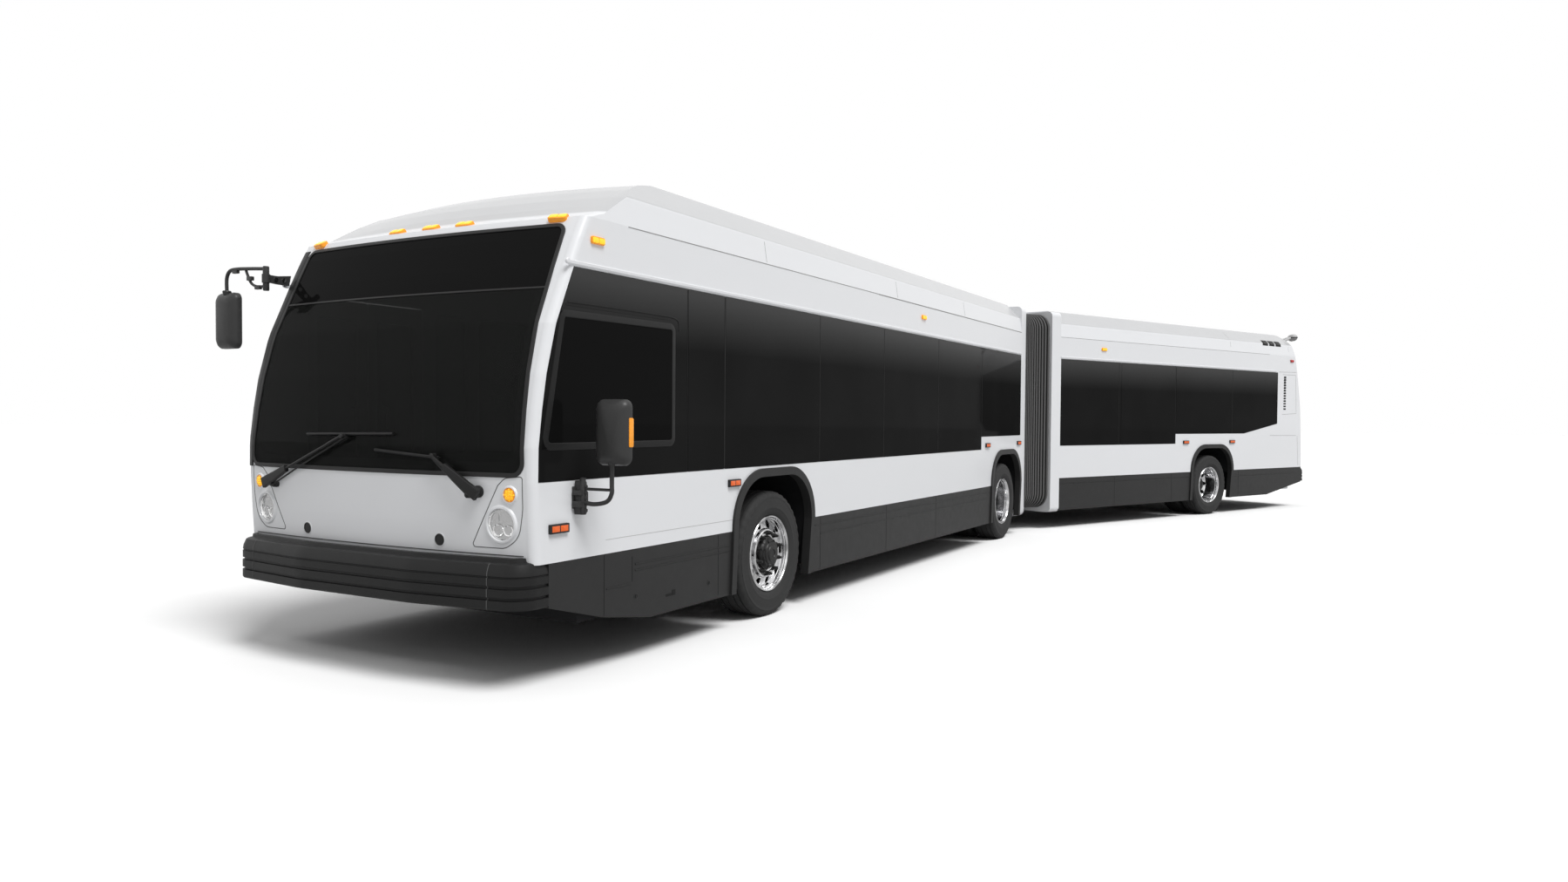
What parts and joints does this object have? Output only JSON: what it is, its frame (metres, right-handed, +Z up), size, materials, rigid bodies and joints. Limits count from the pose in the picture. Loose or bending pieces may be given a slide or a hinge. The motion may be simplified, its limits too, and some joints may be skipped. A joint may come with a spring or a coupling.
{
  "type": "articulated low-floor bus",
  "caption": "Long low-floor city bus of two sections joined by a folded bellows, three axles, twin rear wheels, steered front wheels and double-leaf doors.",
  "frame": {"origin": "middle of the bottom of the parked bus box, on the ground", "axes": "+X forward along the front section, +Y to its left, +Z up"},
  "size_m": [18.4625, 6.2919, 3.2031],
  "materials": {
    "body_white": "gloss paint",
    "skirt_grey": "satin charcoal moulding",
    "glass_black": "dark tinted glass",
    "glass_clear": "lightly tinted glass",
    "tyre": "rubber",
    "rim": "polished aluminium",
    "steel": "painted chassis steel",
    "floor": "safety flooring",
    "bellows": "coated bellows fabric",
    "hoop": "mill aluminium",
    "black_trim": "black moulding",
    "lamp": "chrome reflector behind clear lens",
    "lamp_red": "red lens",
    "seat": "woven seat fabric",
    "dash": "grained moulding"
  },
  "bodies": {
    "front_section": {"front_cap": "body_white", "front_left_wall": "body_white", "front_right_wall": "body_white", "front_skirts": "skirt_grey", "front_arch_lips": "black_trim", "front_windows": "glass_black", "front_roof": "body_white", "windshield": "glass_clear", "destination_sign": "glass_black", "front_floor": "floor", "front_bumper": "skirt_grey", "front_lamps": "lamp", "wipers": "black_trim", "mirrors": "black_trim", "dashboard": "dash", "front_seats": "seat", "front_axle": "steel", "middle_axle": "steel", "front_joint_ring": "body_white", "bellows": "bellows", "front_coupling": "steel"},
    "rear_section": {"rear_joint_ring": "body_white", "rear_coupling": "steel", "rear_left_wall": "body_white", "rear_right_wall": "body_white", "rear_windows": "glass_black", "rear_skirts": "skirt_grey", "rear_arch_lips": "black_trim", "rear_roof": "body_white", "tail_cap": "body_white", "rear_floor": "floor", "engine": "steel", "rear_axle": "steel", "rear_bumper": "skirt_grey", "tail_lamps": "lamp_red", "rear_seats": "seat"},
    "left_knuckle": {"left_knuckle": "steel"},
    "right_knuckle": {"right_knuckle": "steel"},
    "tie_rod": {"tie_rod": "steel"},
    "bellows_hoop": {"bellows_hoop": "hoop"},
    "front_left_wheel": {"front_left_tyre": "tyre", "front_left_rim": "rim"},
    "middle_left_wheels": {"middle_left_tyres": "tyre", "middle_left_rims": "rim"},
    "rear_left_wheels": {"rear_left_tyres": "tyre", "rear_left_rims": "rim"},
    "front_right_wheel": {"front_right_tyre": "tyre", "front_right_rim": "rim"},
    "middle_right_wheels": {"middle_right_tyres": "tyre", "middle_right_rims": "rim"},
    "rear_right_wheels": {"rear_right_tyres": "tyre", "rear_right_rims": "rim"},
    "front_door_front_leaf": {"front_door_front_leaf": "body_white"},
    "front_door_rear_leaf": {"front_door_rear_leaf": "body_white"},
    "middle_door_front_leaf": {"middle_door_front_leaf": "body_white"},
    "middle_door_rear_leaf": {"middle_door_rear_leaf": "body_white"},
    "rear_door_front_leaf": {"rear_door_front_leaf": "body_white"},
    "rear_door_rear_leaf": {"rear_door_rear_leaf": "body_white"},
    "engine_door": {"engine_door": "body_white"}
  },
  "joints": [
    {"name": "articulation", "type": "hinge", "parent": "front_section", "child": "rear_section", "pos_m": [-1.20669, -1.33599, 0.37], "axis": [0, 0, 1], "range_deg": [-21.13, 68.87], "deforming": ["bellows"]},
    {"name": "hoop_turn", "type": "hinge", "parent": "front_section", "child": "bellows_hoop", "pos_m": [-1.20669, -1.33599, 0.406], "axis": [0, 0, 1], "range_deg": [-11.06, 34.94]},
    {"name": "steering", "type": "hinge", "parent": "front_section", "child": "left_knuckle", "pos_m": [6.28131, -0.40099, 0.5], "axis": [0, 0, 1], "range_deg": [-40, 40]},
    {"name": "right_steering", "type": "hinge", "parent": "front_section", "child": "right_knuckle", "pos_m": [6.28131, -2.27099, 0.5], "axis": [0, 0, 1], "range_deg": [-41, 41]},
    {"name": "tie_rod_swing", "type": "hinge", "parent": "left_knuckle", "child": "tie_rod", "pos_m": [6.03131, -0.40099, 0.255], "axis": [0, 0, 1], "range_deg": [-41, 41]},
    {"name": "front_left_wheel_spin", "type": "hinge", "parent": "left_knuckle", "child": "front_left_wheel", "pos_m": [6.28131, -0.21799, 0.5], "axis": [0, 1, 0], "continuous": true},
    {"name": "middle_left_wheels_spin", "type": "hinge", "parent": "front_section", "child": "middle_left_wheels", "pos_m": [0.08131, -0.39299, 0.5], "axis": [0, 1, 0], "continuous": true},
    {"name": "rear_left_wheels_spin", "type": "hinge", "parent": "rear_section", "child": "rear_left_wheels", "pos_m": [-5.43949, 1.56828, 0.5], "axis": [0.4047, 0.9145, 0], "continuous": true},
    {"name": "front_right_wheel_spin", "type": "hinge", "parent": "right_knuckle", "child": "front_right_wheel", "pos_m": [6.28131, -2.45399, 0.5], "axis": [0, 1, 0], "continuous": true},
    {"name": "middle_right_wheels_spin", "type": "hinge", "parent": "front_section", "child": "middle_right_wheels", "pos_m": [0.08131, -2.27899, 0.5], "axis": [0, 1, 0], "continuous": true},
    {"name": "rear_right_wheels_spin", "type": "hinge", "parent": "rear_section", "child": "rear_right_wheels", "pos_m": [-6.20268, -0.15641, 0.5], "axis": [0.4047, 0.9145, 0], "continuous": true},
    {"name": "front_door_front_hinge", "type": "hinge", "parent": "front_section", "child": "front_door_front_leaf", "pos_m": [8.59931, -2.61899, 1.4], "axis": [0, 0, 1], "range_deg": [0, 90]},
    {"name": "front_door_rear_hinge", "type": "hinge", "parent": "front_section", "child": "front_door_rear_leaf", "pos_m": [7.59331, -2.61899, 1.4], "axis": [0, 0, 1], "range_deg": [-90, 0]},
    {"name": "middle_door_front_hinge", "type": "hinge", "parent": "front_section", "child": "middle_door_front_leaf", "pos_m": [3.99931, -2.61899, 1.4], "axis": [0, 0, 1], "range_deg": [0, 90]},
    {"name": "middle_door_rear_hinge", "type": "hinge", "parent": "front_section", "child": "middle_door_rear_leaf", "pos_m": [2.78331, -2.61899, 1.4], "axis": [0, 0, 1], "range_deg": [-90, 0]},
    {"name": "rear_door_front_hinge", "type": "hinge", "parent": "rear_section", "child": "rear_door_front_leaf", "pos_m": [-3.84926, -1.56963, 1.4], "axis": [0, 0, 1], "range_deg": [0, 90]},
    {"name": "rear_door_rear_hinge", "type": "hinge", "parent": "rear_section", "child": "rear_door_rear_leaf", "pos_m": [-4.96125, -1.07756, 1.4], "axis": [0, 0, 1], "range_deg": [-90, 0]},
    {"name": "engine_door_hinge", "type": "hinge", "parent": "rear_section", "child": "engine_door", "pos_m": [-8.67986, 1.97098, 1.68], "axis": [0.4047, 0.9145, 0], "range_deg": [0, 90]}
  ],
  "couplings": [
    {"joint": "hoop_turn", "follows": "articulation", "ratio": 0.5},
    {"joint": "right_steering", "follows": "steering", "ratio": 1},
    {"joint": "tie_rod_swing", "follows": "steering", "ratio": -1}
  ]
}
